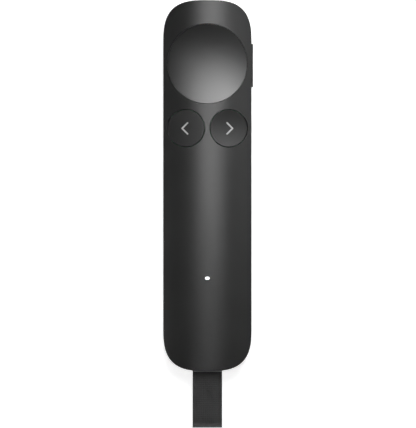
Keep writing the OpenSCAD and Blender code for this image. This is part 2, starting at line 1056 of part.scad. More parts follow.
module receiver_plug() {
    color(metal)
        difference() {
            pill_bar(plug_w, plug_h, rx_front - plug_root, rx_front + plug_l);
            pill_bar(plug_w - 2 * plug_wall, plug_h - 2 * plug_wall,
                rx_front - plug_root - cut, rx_front + plug_l + cut);
        }
}

module plug_contacts() {
    gap = plug_h / 2 - plug_wall - contact_t;
    color("#c9a24a")
        for (low = [gap, -gap - contact_t])
            translate([-contact_w / 2, rx_front - plug_root, rx_z + low])
                cube([contact_w, contact_l, contact_t]);
}

module receiver_board() {
    color(board_green)
        axis_block(rx_board_w, rx_board_t, rx_board_rear, rx_board_front);
}

module receiver_chip() {
    color(chip_black)
        pad_block(0, (rx_board_rear + rx_board_front) / 2, rx_chip[0], rx_chip[1],
            rx_z + rx_board_t / 2, rx_z + rx_board_t / 2 + rx_chip[2]);
}

module strap_pin() {
    color(metal)
        across_x(pin_r, pin_y, pin_l);
}

// Solid loop of a given radius, from the pin to the fold
module loop_solid(r, w) {
    fold_y = strap_end + strap_out_r;
    union() {
        across_x(r, pin_y, w);
        across_x(r, fold_y, w);
        axis_block(w, 2 * r, fold_y, pin_y);
    }
}

module strap() {
    color("#2a2b2d")
        difference() {
            loop_solid(strap_out_r, strap_w);
            loop_solid(strap_in_r, strap_w + 2 * cut);
        }
}

top_cover();
bottom_cover();
inner_frame();
case_screws();
pointer_button();
back_button();
next_button();
side_button();
back_arrow();
next_arrow();
light_pipe();
status_led();
main_board();
pointer_switch();
back_switch();
next_switch();
side_switch();
pointer_stem();
back_stem();
next_stem();
side_stem();
radio_chip();
shield_can();
antenna();
crystal();
power_chip();
capacitors();
battery();
battery_pad();
battery_connector();
battery_lead();
vibration_motor();
laser_barrel();
laser_diode();
laser_lens();
laser_window();
charge_socket();
socket_tongue();
receiver_bay();
receiver_shell();
receiver_cap();
receiver_plug();
plug_contacts();
receiver_board();
receiver_chip();
strap_pin();
strap();
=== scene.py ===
# %% [markdown]
# # A wireless presentation clicker
# The clicker lies on its back, buttons up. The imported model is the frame: it holds every piece at its
# real place, and this script gives each piece its finish, or models it again with rounded edges.
# Shapes are drawn in millimetres, because Blender's edit tools have limits of their own that are too
# coarse for a 30 mm object drawn in metres, and each finished piece is then brought to metres.

# %% load the frame
import json
import math

import bpy
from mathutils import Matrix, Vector

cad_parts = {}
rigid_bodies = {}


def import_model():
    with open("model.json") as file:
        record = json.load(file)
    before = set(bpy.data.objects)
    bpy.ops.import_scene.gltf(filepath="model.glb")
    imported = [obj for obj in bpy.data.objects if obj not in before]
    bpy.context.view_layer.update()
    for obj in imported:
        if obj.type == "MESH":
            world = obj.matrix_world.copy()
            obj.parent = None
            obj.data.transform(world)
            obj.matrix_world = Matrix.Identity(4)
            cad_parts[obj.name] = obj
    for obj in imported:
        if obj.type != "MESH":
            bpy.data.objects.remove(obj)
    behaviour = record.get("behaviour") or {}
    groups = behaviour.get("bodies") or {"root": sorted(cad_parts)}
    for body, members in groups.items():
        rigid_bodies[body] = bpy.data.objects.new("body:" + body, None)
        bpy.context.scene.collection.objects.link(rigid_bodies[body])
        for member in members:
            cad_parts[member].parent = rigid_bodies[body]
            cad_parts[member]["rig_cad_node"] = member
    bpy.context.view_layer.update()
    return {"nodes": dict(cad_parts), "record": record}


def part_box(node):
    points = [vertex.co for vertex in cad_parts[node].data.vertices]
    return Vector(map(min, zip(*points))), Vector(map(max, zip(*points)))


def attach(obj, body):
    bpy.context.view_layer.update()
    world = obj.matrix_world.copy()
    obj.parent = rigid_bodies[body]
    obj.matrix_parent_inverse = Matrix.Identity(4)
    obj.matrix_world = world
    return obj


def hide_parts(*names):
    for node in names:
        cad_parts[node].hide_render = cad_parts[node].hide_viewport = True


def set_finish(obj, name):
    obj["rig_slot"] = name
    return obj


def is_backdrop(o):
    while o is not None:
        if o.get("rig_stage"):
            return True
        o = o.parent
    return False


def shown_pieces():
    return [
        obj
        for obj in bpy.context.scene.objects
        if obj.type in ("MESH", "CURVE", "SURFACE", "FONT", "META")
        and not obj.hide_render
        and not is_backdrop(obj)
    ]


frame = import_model()
MM = 0.001
X, Y, Z = range(3)               # the axes by number


def box_mm(node):
    """Lowest and highest corner of a CAD piece, in millimetres."""
    return [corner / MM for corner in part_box(node)]


def middle_mm(node, axis):
    """Middle of a CAD piece along one axis, in millimetres."""
    low, high = box_mm(node)
    return (low[axis] + high[axis]) / 2


# %% [markdown]
# ## Sizes
# What the frame can tell is read from it. The rest are the few sizes that shaped it: the crown is part
# of a long cylinder of 40 mm radius that runs the whole length, and the ends are superellipses, which
# are squarer than a half circle and meet the straight flanks without a visible corner.

# %% sizes
cover_low, cover_high = box_mm("top_cover")
HALF_W, HALF_L, TOP = cover_high
PARTING = cover_low.z
WALL = 1.2
CROWN_R = 40
END_L = 15
END_POWER = 3.05
END_Y = HALF_L - END_L
NEAR = 0.02                      # two points closer than this count as the same place


def crown(x):
    """Height of the crown at a distance from the middle."""
    return TOP - CROWN_R + math.sqrt(CROWN_R ** 2 - x * x)


def arc_radius(half, rise):
    """Radius of an arc that rises by rise over half its chord."""
    return (half * half + rise * rise) / (2 * rise)


print(f"body {2 * HALF_W:.1f} x {2 * HALF_L:.1f} x {TOP:.1f} mm, parting line at {PARTING:.1f} mm")

# %% [markdown]
# ## The camera
# The view is straight down on the buttons, through a long lens, so that the flanks barely show. Blender
# fits the sensor to the longer side of the picture, which is its height here, so the distance follows
# from how many millimetres that height covers.

# %% camera
LENS = 400
SENSOR = 36
VIEW_H = 145.4                   # millimetres that the picture's height covers
VIEW_AT = Vector((0.22, -9.62, 8))

bpy.ops.object.select_all(action="DESELECT")
bpy.ops.object.camera_add(rotation=(0, 0, 0))
camera = bpy.context.object
camera.name = "camera"
camera.data.lens = LENS
camera.data.sensor_width = SENSOR
camera.location = (VIEW_AT + Vector((0, 0, VIEW_H * LENS / SENSOR))) * MM
camera.data.clip_end = 20
bpy.context.scene.camera = camera
bpy.context.scene.view_settings.view_transform = "Standard"
print("camera height", round(camera.location.z, 3), "m")

# %% [markdown]
# ## Helpers for nodes and colours
# A material is a small tree of nodes. One function adds a node, sets what it is told and links any
# socket that is given another node's output. Colours are written as on a screen, in hex, and are turned
# to the linear values that the renderer works in.


# %% node and colour helpers
def add_node(tree, kind, inputs=None, **settings):
    """Adds a node; inputs are socket names or numbers with a value or another node's output."""
    node = tree.nodes.new("ShaderNode" + kind)
    for name, value in settings.items():
        setattr(node, name, value)
    for socket, value in (inputs or {}).items():
        if isinstance(value, bpy.types.NodeSocket):
            tree.links.new(value, node.inputs[socket])
        else:
            node.inputs[socket].default_value = value
    return node


def linear(hex_colour):
    """Linear RGBA of an sRGB hex colour."""
    parts = [int(hex_colour[i:i + 2], 16) / 255 for i in (1, 3, 5)]
    return [p / 12.92 if p <= 0.04045 else ((p + 0.055) / 1.055) ** 2.4 for p in parts] + [1]


def new_tree(name):
    """A material with an empty tree and its output node."""
    material = bpy.data.materials.new(name)
    material.use_nodes = True
    tree = material.node_tree
    tree.nodes.clear()
    return material, tree, add_node(tree, "OutputMaterial")


# %% [markdown]
# ## The studio
# The floor and the world are white where the camera, a reflection or glass sees them, and dimmer as a
# source of light, so that the background stays white without flooding a dark object. Overhead the
# reflections find a dark ceiling: that is what lets a satin black shell look black beside its highlight.

# %% world
CEILING_FROM = 0.2               # height of the look direction where the white wall starts to fade
CEILING_AT = 0.72                # height above which only the ceiling is seen
CEILING = 0.0                    # how bright the ceiling is in a reflection
FILL = 0.15                      # how bright the world is as a source of light

world = bpy.data.worlds.new("studio")
bpy.context.scene.world = world
world.use_nodes = True
sky = world.node_tree
sky.nodes.clear()
look = add_node(sky, "TexCoord")
height = add_node(sky, "SeparateXYZ", {0: look.outputs["Generated"]})
wall_fade = add_node(sky, "MapRange", {"Value": height.outputs["Z"], "From Min": CEILING_FROM,
                                       "From Max": CEILING_AT, "To Min": 1.0, "To Max": CEILING},
                     interpolation_type="SMOOTHSTEP")
rays = add_node(sky, "LightPath")
seen = add_node(sky, "Math", {0: rays.outputs["Is Glossy Ray"], 1: rays.outputs["Is Transmission Ray"]},
                operation="MAXIMUM")
fill_level = add_node(sky, "Mix", {0: seen.outputs[0], 2: FILL, 3: wall_fade.outputs[0]})
level = add_node(sky, "Mix", {0: rays.outputs["Is Camera Ray"], 2: fill_level.outputs[0], 3: 1.0})
light = add_node(sky, "Background", {"Color": (1, 1, 1, 1), "Strength": level.outputs[0]})
add_node(sky, "OutputWorld", {"Surface": light.outputs[0]})

# %% floor
FLOOR_SIZE = 6
FLOOR_Z = -0.05                  # millimetres; just below the flat back, so that the two don't flicker
FLOOR_GLOW = 0.76                # what the camera sees of the floor where no lamp reaches
FLOOR_GLOW_REFLECTED = 0.2       # the same in reflections, which should keep the floor's shade

bpy.ops.object.select_all(action="DESELECT")
bpy.ops.mesh.primitive_plane_add(size=FLOOR_SIZE, location=(0, 0, FLOOR_Z * MM))
floor = bpy.context.object
floor.name = "floor"
paper, tree, output = new_tree("white paper sweep")
rays = add_node(tree, "LightPath")
seen = add_node(tree, "Math", {0: rays.outputs["Is Glossy Ray"], 1: rays.outputs["Is Transmission Ray"]},
                operation="MAXIMUM")
glow = add_node(tree, "Math", {0: seen.outputs[0], 1: FLOOR_GLOW_REFLECTED}, operation="MULTIPLY")
glow = add_node(tree, "Mix", {0: rays.outputs["Is Camera Ray"], 2: glow.outputs[0], 3: FLOOR_GLOW})
shown = add_node(tree, "Emission", {"Color": (1, 1, 1, 1), "Strength": glow.outputs[0]})
matt = add_node(tree, "BsdfDiffuse", {"Color": linear("#d8d8d8")})
both = add_node(tree, "AddShader", {0: matt.outputs[0], 1: shown.outputs[0]})
tree.links.new(both.outputs[0], output.inputs["Surface"])
floor.data.materials.append(paper)
floor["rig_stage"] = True

# %% [markdown]
# ## The lamps
# A softbox with a grid hangs close above, a little beyond the nose. The grid narrows its beam, so its
# reflection runs down the crown as a soft ridge that fades towards the strap, and it fills the lower half
# of the dish, whose surface leans towards it. A narrow strip high above sharpens the ridge, so that the
# satin shell doesn't look dull. Two more, on the right and low on the left, keep the flanks from going
# black. They are weak at the clicker although they have more watts, because they stand further off and
# spread their light widely, where the gridded ones put theirs into a narrow beam.


# %% lamps
def softbox(name, place, size, watts, aim_y=20, beam=180):
    """A rectangular lamp in millimetres, aimed at a place along the crown; beam is in degrees."""
    bpy.ops.object.select_all(action="DESELECT")
    bpy.ops.object.light_add(type="AREA", location=Vector(place) * MM)
    lamp = bpy.context.object
    lamp.name = name
    lamp.data.shape = "RECTANGLE"
    lamp.data.size = size[0] * MM
    lamp.data.size_y = size[1] * MM
    lamp.data.energy = watts
    lamp.data.spread = math.radians(beam)
    lamp.visible_camera = False
    aim = Vector((0, aim_y * MM, TOP * MM)) - lamp.location
    lamp.rotation_euler = aim.to_track_quat("-Z", "Y").to_euler()
    return lamp


softbox("key_softbox", (24, 86, 222), (122, 170), 0.067, aim_y=1, beam=49.3)
softbox("top_strip", (-5, 57, 1099), (358, 20), 0.067, aim_y=-56, beam=65.2)
softbox("right_softbox", (390, 97, 477), (220, 260), 0.235)
softbox("left_fill", (-420, -160, 260), (300, 200), 0.36)

# %% [markdown]
# ## Helpers for modelling
# Each piece starts as a primitive and is worked on in edit mode. An operator acts on all that is
# selected, so a helper first selects nothing else, and edges and faces are picked by where they lie.


# %% modelling helpers
FACING = 0.9                     # a face whose normal is this far along an axis faces that way
FLAT = 0.9999                    # the same, leaning by less than a degree
SHARP = math.radians(50)         # an edge that turns by more than this is a sharp one


def alone(obj):
    """Makes obj the one selected and active object."""
    bpy.ops.object.select_all(action="DESELECT")
    obj.select_set(True)
    bpy.context.view_layer.objects.active = obj
    return obj


def settle(obj):
    """Puts a piece's place, turn and scale into its mesh."""
    alone(obj)
    bpy.ops.object.transform_apply(location=True, rotation=True, scale=True)
    return obj


def start(name, primitive, **values):
    """Adds a primitive under a name."""
    bpy.ops.object.select_all(action="DESELECT")
    primitive(**values)
    obj = bpy.context.object
    obj.name = name
    return settle(obj)


def pick(obj, kind, chosen):
    """Opens obj in edit mode with only the chosen edges or faces selected."""
    alone(obj)
    bpy.ops.object.mode_set(mode="EDIT")
    bpy.ops.mesh.select_mode(type=kind)
    bpy.ops.mesh.select_all(action="DESELECT")
    bpy.ops.object.mode_set(mode="OBJECT")
    mesh = obj.data
    if kind == "FACE":
        for face in mesh.polygons:
            face.select = chosen(face.center, face.normal)
    else:
        for edge in mesh.edges:
            edge.select = chosen(*[mesh.vertices[i].co for i in edge.vertices])
    bpy.ops.object.mode_set(mode="EDIT")


def done():
    """Goes back to object mode."""
    bpy.ops.object.mode_set(mode="OBJECT")


def round_edges(obj, chosen, width, steps=3):
    """Rounds the chosen edges."""
    pick(obj, "EDGE", chosen)
    bpy.ops.mesh.bevel(offset=width, segments=steps, profile=0.5, affect="EDGES", clamp_overlap=False)
    done()


def carve(obj, tool, how="DIFFERENCE"):
    """Cuts tool out of obj, or joins it on, and removes the tool."""
    alone(obj)
    change = obj.modifiers.new(how, "BOOLEAN")
    change.operation = how
    change.object = tool
    change.solver = "EXACT"
    bpy.ops.object.modifier_apply(modifier=change.name)
    bpy.data.objects.remove(tool)
    return obj


def soften(obj, width):
    """Gives every sharp edge a fine bevel."""
    soft = obj.modifiers.new("soft", "BEVEL")
    soft.width = width
    soft.segments = 2
    soft.limit_method = "ANGLE"
    soft.angle_limit = SHARP
    alone(obj)
    bpy.ops.object.modifier_apply(modifier=soft.name)


def drum(name, centre, radius, low, high, count=96, axis="Z"):
    """A cylinder between two heights, or along Y between two places."""
    middle = (low + high) / 2
    place = (centre[0], centre[1], middle) if axis == "Z" else (centre[0], middle, centre[1])
    turn = (0, 0, 0) if axis == "Z" else (math.pi / 2, 0, 0)
    return start(name, bpy.ops.mesh.primitive_cylinder_add, vertices=count, radius=radius,
                 depth=high - low, location=place, rotation=turn)


def block(name, low, high, corner=0.0, along=Z, steps=6):
    """A box between two corners whose edges along one axis are rounded."""
    low, high = Vector(low), Vector(high)
    size = high - low
    box = start(name, bpy.ops.mesh.primitive_cube_add, size=1, location=(low + high) / 2, scale=size)
    if corner:
        round_edges(box, lambda a, b: abs(a[along] - b[along]) > size[along] / 2, corner, steps)
    return box


def to_metres(obj, body, slot, *nodes, smooth=35, weigh=True):
    """Smooths a finished piece, brings it to metres and gives it its body and the nodes it stands for."""
    alone(obj)
    bpy.ops.object.mode_set(mode="EDIT")
    bpy.ops.mesh.select_all(action="SELECT")
    bpy.ops.mesh.normals_make_consistent(inside=False)
    done()
    bpy.ops.object.shade_smooth_by_angle(angle=math.radians(smooth))
    if weigh:
        even = obj.modifiers.new("even", "WEIGHTED_NORMAL")
        even.keep_sharp = True
        bpy.ops.object.modifier_apply(modifier=even.name)
    obj.scale = (MM, MM, MM)
    settle(obj)
    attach(obj, body)
    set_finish(obj, slot)
    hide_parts(*nodes)
    print(f"{obj.name}: {len(obj.data.polygons)} faces")
    return obj


# %% [markdown]
# ## The outline
# No primitive has a superellipse end, so a circle is added and its points are moved onto the outline.
# The circle is turned by half a step first, so that none of its points falls on the middle of a flank
# and the flank stays one straight edge.

# %% outline
OUTLINE_STEPS = 32               # points in a quarter of the outline


def outline_point(turn, inset, z):
    """Point of the outline, drawn in by an inset, at a turn round the body."""
    across, along = math.cos(turn), math.sin(turn)
    x = math.copysign(abs(across) ** (2 / END_POWER) * (HALF_W - inset), across)
    y = math.copysign(abs(along) ** (2 / END_POWER) * (END_L - inset) + END_Y, along)
    return x, y, z


def prism(name, inset, low, high):
    """The outline, extruded from one height to another."""
    count = 4 * OUTLINE_STEPS
    disc = start(name, bpy.ops.mesh.primitive_circle_add, vertices=count, radius=1, fill_type="NGON")
    for i, v in enumerate(disc.data.vertices):
        v.co = outline_point((i + 0.5) / count * 2 * math.pi, inset, low)
    pick(disc, "FACE", lambda centre, normal: True)
    bpy.ops.mesh.extrude_region_move(TRANSFORM_OT_translate={"value": (0, 0, high - low)})
    bpy.ops.mesh.select_all(action="SELECT")
    bpy.ops.mesh.normals_make_consistent(inside=False)
    done()
    return disc


def on_outline(p):
    """True for a point on the outer outline."""
    past = max(abs(p.y) - END_Y, 0) / END_L
    return abs((abs(p.x) / HALF_W) ** END_POWER + past ** END_POWER - 1) < NEAR


# %% [markdown]
# ## The top cover
# The real cover is one moulding with a crowned face and upright walls. Rounding the rim of a hole that
# is cut through a curved face is hard to do cleanly, so the cover is first made flat: a plate with its
# holes, whose rims all lie in one plane and take an even bevel. The face is then bisected into narrow
# strips, and each point of the face sinks by what the crown falls at its place. The walls stay upright,
# and the rims follow the crown as the moulded ones do.

# %% top cover
dish_low, dish_high = box_mm("pointer_button")
DISH_GAP = 0.1
DISH_R = (dish_high.x - dish_low.x) / 2
DISH_Y = middle_mm("pointer_switch", Y)
KEY_GAP = 0.3
KEY_X = middle_mm("next_switch", X)
KEY_Y = middle_mm("next_switch", Y)
KEY_R = box_mm("next_button")[1].x - KEY_X
LIGHT_Y = middle_mm("status_led", Y)
LIGHT_L, LIGHT_W = 1.6, 1.0
side_low, side_high = box_mm("side_button")
SIDE_GAP = 0.15
SIDE_L = 15
SIDE_Y = middle_mm("side_button", Y)
SIDE_ZS = side_low.z - SIDE_GAP, side_high.z + SIDE_GAP
RX_Z = middle_mm("charge_socket", Z)
cap_low, cap_high = box_mm("receiver_cap")
CAP_GAP = 0.1
CAP_X = cap_high.x
shell_high = box_mm("receiver_shell")[1]
CAP_H = CAP_X - (shell_high.x - shell_high.z + RX_Z)
LASER_Z = middle_mm("laser_barrel", Z)
WINDOW_R = 1.7
STRIP = 0.75                     # width of the strips that take up the crown
FACE_FROM = TOP - 2              # what lies above this sinks with the crown
PAST = 1                         # how far a cutting tool reaches past what it cuts
PILL = 0.499                     # corner as a share of the width, just short of a half circle
SIDE_CORNER, CAP_HOLE_CORNER = 0.6, 0.9
CAP_HOLE_L, NOSE_L = 1.9, 2      # how far the holes in the two ends run in
BOSS_R, SCREW_R, SCREW_L = 1.65, 0.85, 4

cover = prism("top_cover_moulding", 0, PARTING, TOP)
carve(cover, prism("cavity", WALL, PARTING - PAST, TOP - WALL))
bosses = [(10.9, -36.8, 7), (10.9, KEY_Y - 10.8, 7), (8.2, 57.6, 6)]   # across, along and foot
for side in (-1, 1):
    for x, y, foot in bosses:
        carve(cover, drum("boss", (side * x, y), BOSS_R, foot, TOP - WALL / 2, 32), "UNION")
        carve(cover, drum("screw_hole", (side * x, y), SCREW_R, foot - PAST, foot + SCREW_L, 24))
above, below = TOP + PAST, TOP - WALL - PAST / 2
carve(cover, drum("dish_hole", (0, DISH_Y), DISH_R + DISH_GAP, below, above, 192))
for side in (-1, 1):
    carve(cover, drum("key_hole", (side * KEY_X, KEY_Y), KEY_R + KEY_GAP, below, above, 128))
carve(cover, block("light_hole", (-LIGHT_L / 2, LIGHT_Y - LIGHT_W / 2, below),
                   (LIGHT_L / 2, LIGHT_Y + LIGHT_W / 2, above), LIGHT_W * PILL))
carve(cover, block("side_hole", (HALF_W - WALL - PAST, SIDE_Y - SIDE_L / 2, SIDE_ZS[0]),
                   (HALF_W + PAST, SIDE_Y + SIDE_L / 2, SIDE_ZS[1]), SIDE_CORNER, X))
carve(cover, block("receiver_hole", (-CAP_X - CAP_GAP, -HALF_L - PAST, RX_Z - CAP_H - CAP_GAP),
                   (CAP_X + CAP_GAP, -HALF_L + CAP_HOLE_L, RX_Z + CAP_H + CAP_GAP),
                   CAP_HOLE_CORNER, Y))
carve(cover, drum("window_hole", (0, LASER_Z), WINDOW_R, HALF_L - NOSE_L, HALF_L + PAST, 48, "Y"))

# %% top cover: rims, strips and crown
EDGE_ROUND = 0.22
DISH_ROUND = 0.06
KEY_ROUND = 0.06
LIGHT_ROUND = 0.06
SIDE_ROUND = 0.1
SEAM_ROUND = 0.12
LIGHT_REACH, SIDE_REACH, CAP_REACH = 1, 0.1, 0.3   # margins round the edges that a box picks


def at_height(z, test):
    """Test for an edge in the plane z whose two ends both pass."""
    return lambda a, b: all(abs(p.z - z) < NEAR and test(p) for p in (a, b))


def on_circle(centre, radius):
    """Test for a point on an upright circle."""
    return lambda p: abs(math.hypot(p.x - centre[0], p.y - centre[1]) - radius) < NEAR


def inside(low, high):
    """Test for an edge with both ends in a box."""
    return lambda a, b: all(low[i] < p[i] < high[i] for p in (a, b) for i in range(3))


round_edges(cover, at_height(TOP, on_outline), EDGE_ROUND, 5)
round_edges(cover, at_height(PARTING, on_outline), SEAM_ROUND, 2)
round_edges(cover, at_height(TOP, on_circle((0, DISH_Y), DISH_R + DISH_GAP)), DISH_ROUND, 3)
for side in (-1, 1):
    key_rim = on_circle((side * KEY_X, KEY_Y), KEY_R + KEY_GAP)
    round_edges(cover, at_height(TOP, key_rim), KEY_ROUND, 4)
light_rim = inside((-LIGHT_REACH, LIGHT_Y - LIGHT_REACH, TOP - NEAR),
                   (LIGHT_REACH, LIGHT_Y + LIGHT_REACH, TOP + NEAR))
side_rim = inside((HALF_W - SIDE_REACH, SIDE_Y - SIDE_L / 2 - SIDE_REACH, SIDE_ZS[0] - SIDE_REACH),
                  (HALF_W + SIDE_REACH, SIDE_Y + SIDE_L / 2 + SIDE_REACH, SIDE_ZS[1] + SIDE_REACH))
cap_rim = inside((-CAP_X - CAP_REACH, -HALF_L - SIDE_REACH, RX_Z - CAP_H - CAP_REACH),
                 (CAP_X + CAP_REACH, -HALF_L + 2 * CAP_REACH, RX_Z + CAP_H + CAP_REACH))
round_edges(cover, light_rim, LIGHT_ROUND, 2)
round_edges(cover, side_rim, SIDE_ROUND, 2)
round_edges(cover, cap_rim, SEAM_ROUND, 2)

pick(cover, "FACE", lambda centre, normal: True)
for i in range(1, int(2 * HALF_W / STRIP)):
    bpy.ops.mesh.select_all(action="SELECT")
    bpy.ops.mesh.bisect(plane_co=(i * STRIP - HALF_W, 0, 0), plane_no=(1, 0, 0), threshold=0.0001)
done()
for v in cover.data.vertices:
    if v.co.z > FACE_FROM:
        v.co.z += crown(v.co.x) - TOP
to_metres(cover, "case", "graphite_shell", "top_cover")

# %% [markdown]
# ## The bottom cover
# A tray with a flat back. Its long edge is rounded by 5 mm sideways but only 3.2 mm in height. A bevel
# is always as wide as it is high, so the tray is first made too tall, bevelled evenly, and then
# squeezed to its height. Solidify gives it its wall.

# %% bottom cover
BACK_ROUND_X, BACK_ROUND_Z = 5, 3.2
squeeze = BACK_ROUND_Z / BACK_ROUND_X

tray = prism("bottom_cover_moulding", 0, 0, PARTING / squeeze)
round_edges(tray, at_height(0, on_outline), BACK_ROUND_X, 14)
pick(tray, "FACE", lambda centre, normal: True)
bpy.ops.transform.resize(value=(1, 1, squeeze), center_override=(0, 0, 0))
done()
pick(tray, "FACE", lambda centre, normal: centre.z > PARTING - NEAR and normal.z > FACING)
bpy.ops.mesh.delete(type="FACE")
done()
wall = tray.modifiers.new("wall", "SOLIDIFY")
wall.thickness = WALL
wall.offset = -1
wall.use_even_offset = True
alone(tray)
bpy.ops.object.modifier_apply(modifier=wall.name)
round_edges(tray, at_height(PARTING, on_outline), SEAM_ROUND, 2)
to_metres(tray, "case", "graphite_shell", "bottom_cover")

# %% [markdown]
# ## The dished pointer button
# The thumb finds this one by feel: its face is hollow along the clicker and follows the crown across
# it, like a saddle. A disc gets even rings by inset, so that its face has enough points, and each
# point then goes to the saddle's height. The rim stays crisp, with only a hair of rounding.

# %% dished button
DISH_DEPTH = 1.3
RINGS = 14
UNDER = 0.4                      # how far an underside lies above the lowest point of the CAD's button
DISH_WALL, DISH_HOLLOW = 1.6, 0.6
DISH_BOSS_R, DISH_BOSS_L = 1.8, 1
BUTTON_FACE_FROM = TOP - 1       # what lies above this belongs to a button's face


def saddle(half, depth):
    """Height below the rim's plane of a saddle that is flush with the crown at half its width."""
    long_r = arc_radius(half, depth)
    cross_r = arc_radius(half, CROWN_R - math.sqrt(CROWN_R ** 2 - half * half) - depth)

    def height(x, y):
        turned = long_r + cross_r - math.sqrt(cross_r ** 2 - x * x)
        return long_r - depth - math.sqrt(turned ** 2 - y * y)
    return height


def ringed_disc(name, centre, radius, under, edge, rings):
    """A round button blank with a rounded rim and rings on its face."""
    disc = drum(name, centre, radius, under, TOP, 160)
    round_edges(disc, at_height(TOP, on_circle(centre, radius)), edge, 3)
    pick(disc, "FACE", lambda place, normal: normal.z > FLAT)
    for i in range(rings):
        bpy.ops.mesh.inset(thickness=(radius - edge) / (rings + 0.5), depth=0)
    done()
    return disc


dish = ringed_disc("pointer_button_moulding", (0, DISH_Y), DISH_R, dish_low.z + UNDER, DISH_ROUND, RINGS)
pick(dish, "FACE", lambda place, normal: normal.z < -FACING)
bpy.ops.mesh.inset(thickness=DISH_WALL, depth=0)
bpy.ops.mesh.extrude_region_move(TRANSFORM_OT_translate={"value": (0, 0, DISH_HOLLOW)})
bpy.ops.mesh.inset(thickness=DISH_R - DISH_WALL - DISH_BOSS_R, depth=0)
bpy.ops.mesh.extrude_region_move(TRANSFORM_OT_translate={"value": (0, 0, -DISH_BOSS_L)})
done()
dish_face = saddle(DISH_R + DISH_GAP, DISH_DEPTH)
for v in dish.data.vertices:
    if v.co.z > BUTTON_FACE_FROM:
        v.co.z += dish_face(v.co.x, v.co.y - DISH_Y)
to_metres(dish, "pointer", "graphite_key", "pointer_button")

# %% [markdown]
# ## The back and next keys
# Both are round and lean nearly as the crown does. The back key bulges a little across the clicker, and
# the next key is hollow along it, so that the thumb tells them apart. Each arrow is a light inlay in a
# recess. The key and its arrow are made flat together, the recess is cut with a copy of the arrow, and
# both are then lifted onto the leaning face, so they stay flush with each other.

# %% keys and arrows
KEY_LEAN = math.asin(KEY_X / CROWN_R)
BACK_LEAN = KEY_LEAN - math.radians(0.8)
NEXT_LEAN = KEY_LEAN + math.radians(1.5)
BACK_BULGE_R = 120
NEXT_HOLLOW = 0.32
BACK_SINK, NEXT_SINK = 0.26, 0.51    # how far the middle of a face lies below the crown
KEY_RINGS = 8
ARROW_H, ARROW_W, ARROW_DEEP, ARROW_SHIFT = 3.72, 0.51, 0.5, 0.38
ARROW_PROUD = 0.015
ARROW_ABOVE = 0.5                # how far the blank stands above the face before it is trimmed
ARROW_ROUND = 0.05
KEY_UNDER = box_mm("next_button")[0].z + UNDER


def back_face(x, y):
    """Height of the back key's face: a leaning plane that bulges across."""
    away = x + KEY_X
    bulge = BACK_BULGE_R - math.sqrt(BACK_BULGE_R ** 2 - away ** 2)
    return crown(KEY_X) - BACK_SINK + away * math.tan(BACK_LEAN) - bulge


HOLLOW_R = arc_radius(KEY_R, NEXT_HOLLOW)


def next_face(x, y):
    """Height of the next key's face: a leaning plane that is hollow along."""
    rise = HOLLOW_R - math.sqrt(HOLLOW_R ** 2 - (y - KEY_Y) ** 2)
    return crown(KEY_X) - NEXT_SINK - (x - KEY_X) * math.tan(NEXT_LEAN) + rise


def arrow_blank(name, side):
    """A flat chevron of two round-ended bars, pointing away from the middle."""
    arm = ARROW_H / 2 * math.sqrt(2)
    tip = side * (KEY_X + ARROW_H / 4 + ARROW_SHIFT)
    bars = []
    for turn in (-45, 45):
        bar = block(name, (-ARROW_W / 2, -ARROW_W / 2, TOP - ARROW_DEEP),
                    (arm + ARROW_W / 2, ARROW_W / 2, TOP + ARROW_ABOVE), ARROW_W * PILL)
        bar.rotation_euler.z = math.radians(turn + (180 if side > 0 else 0))
        bar.location = (tip, KEY_Y, 0)
        bars.append(settle(bar))
    return carve(bars[0], bars[1], "UNION")


def lift(obj, face, above_z):
    """Moves what lies above a height from the flat onto a face."""
    for v in obj.data.vertices:
        if v.co.z > above_z:
            v.co.z += face(v.co.x, v.co.y) - TOP


keys = {"back": (-1, back_face), "next": (1, next_face)}
for name, (side, face) in keys.items():
    key = ringed_disc(f"{name}_key_moulding", (side * KEY_X, KEY_Y), KEY_R, KEY_UNDER, KEY_ROUND,
                      KEY_RINGS)
    arrow = arrow_blank(f"{name}_arrow_inlay", side)
    tool = arrow.copy()
    tool.data = arrow.data.copy()
    bpy.context.collection.objects.link(tool)
    carve(key, tool)
    pick(arrow, "FACE", lambda centre, normal: True)
    bpy.ops.mesh.dissolve_limited(angle_limit=math.radians(1))
    done()
    for v in arrow.data.vertices:
        v.co.z = min(v.co.z, TOP + ARROW_PROUD)
    round_edges(arrow, at_height(TOP + ARROW_PROUD, lambda p: True), ARROW_ROUND, 2)
    for flat in (key, arrow):
        pick(flat, "FACE", lambda centre, normal: abs(normal.z) > FLAT)
        bpy.ops.mesh.quads_convert_to_tris(quad_method="BEAUTY", ngon_method="BEAUTY")
        done()
    lift(key, face, BUTTON_FACE_FROM)
    lift(arrow, face, BUTTON_FACE_FROM)
    to_metres(key, f"{name}_key", "graphite_key", f"{name}_button")
    to_metres(arrow, f"{name}_key", "arrow_inlay", f"{name}_arrow")

# %% [markdown]
# ## Side button, status light and nose window
# Three small pieces that show as accents: a bar that stands half a millimetre proud of the right
# flank, a white light pipe that ends flush with the crown, and the dark window of the laser.

# %% side button
BAR_IN, BAR_CORNER = 0.7, 0.55

side_bar = block("side_button_moulding", (side_low.x + BAR_IN, SIDE_Y - SIDE_L / 2 + SIDE_GAP, side_low.z),
                 (side_high.x, SIDE_Y + SIDE_L / 2 - SIDE_GAP, side_high.z), BAR_CORNER, X)
round_edges(side_bar, lambda a, b: min(a.x, b.x) > side_high.x - NEAR, SIDE_ROUND, 3)
to_metres(side_bar, "side_key", "dark_key", "side_button")

# %% status light
PIPE_GAP, PIPE_L, PIPE_ROUND = 0.04, 2, 0.1
PIPE_CORNER = LIGHT_W * 0.458

